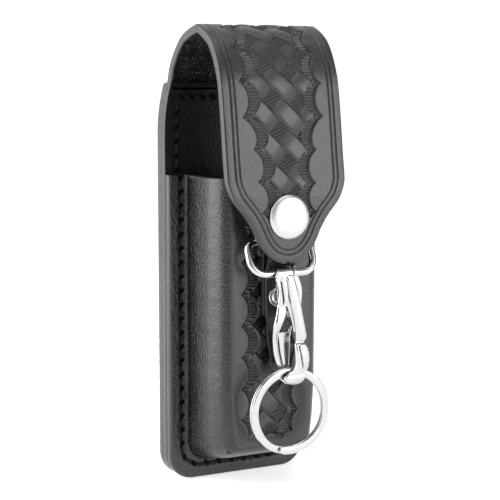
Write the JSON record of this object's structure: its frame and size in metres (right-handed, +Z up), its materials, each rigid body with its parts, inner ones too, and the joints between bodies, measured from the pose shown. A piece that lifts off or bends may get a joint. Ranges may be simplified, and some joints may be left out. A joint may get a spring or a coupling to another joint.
{
  "type": "belt case with key ring",
  "caption": "Leather belt case with a tooled snap flap, and a D-ring, lever snap hook and split key ring on a riveted front tab.",
  "frame": {"origin": "middle of the belt tunnel between the rear panel and the belt loop", "axes": "+X to the right seen from the front, +Y towards the wearer, +Z up"},
  "size_m": [0.054, 0.0591, 0.1606],
  "materials": {
    "leather": "black, tooled, semi-gloss top finish",
    "nickel": "nickel-plated snap and rivet",
    "chrome": "bright plated steel ring, hook and key ring"
  },
  "bodies": {
    "case": {"back_panel": "leather", "rear_panel": "leather", "belt_loop": "leather", "case_body": "leather", "flap_root": "leather", "ring_tab": "leather", "snap_stud": "nickel", "snap_post": "nickel", "tab_rivet": "nickel", "rivet_burr": "nickel"},
    "flap": {"flap_front": "leather", "snap_cap": "nickel", "snap_socket": "nickel"},
    "d_ring": {"d_ring": "chrome"},
    "hook": {"hook_frame": "chrome", "hook_pin": "chrome", "hook_spring": "chrome"},
    "gate": {"hook_gate": "chrome"},
    "key_ring": {"split_ring": "chrome"}
  },
  "joints": [
    {"name": "flap_open", "type": "hinge", "parent": "case", "child": "flap", "pos_m": [0, -0.02549, 0.06342], "axis": [-1, 0, 0], "range_deg": [0, 110]},
    {"name": "d_ring_lift", "type": "hinge", "parent": "case", "child": "d_ring", "pos_m": [0, -0.0418, -0.0095], "axis": [-1, 0, 0], "range_deg": [0, 6]},
    {"name": "hook_swing", "type": "hinge", "parent": "d_ring", "child": "hook", "pos_m": [0.0014, -0.0463, -0.0199], "axis": [-1, 0, 0], "range_deg": [0, 75]},
    {"name": "gate_open", "type": "hinge", "parent": "hook", "child": "gate", "pos_m": [0.004, -0.0463, -0.0333], "axis": [0, 1, 0], "range_deg": [0, 15], "stiffness_Nm_per_rad": 0.01, "springref_deg": -20.05},
    {"name": "key_ring_swing", "type": "hinge", "parent": "hook", "child": "key_ring", "pos_m": [0.0028, -0.0463, -0.0538], "axis": [-1, 0, 0], "range_deg": [0, 20]}
  ]
}
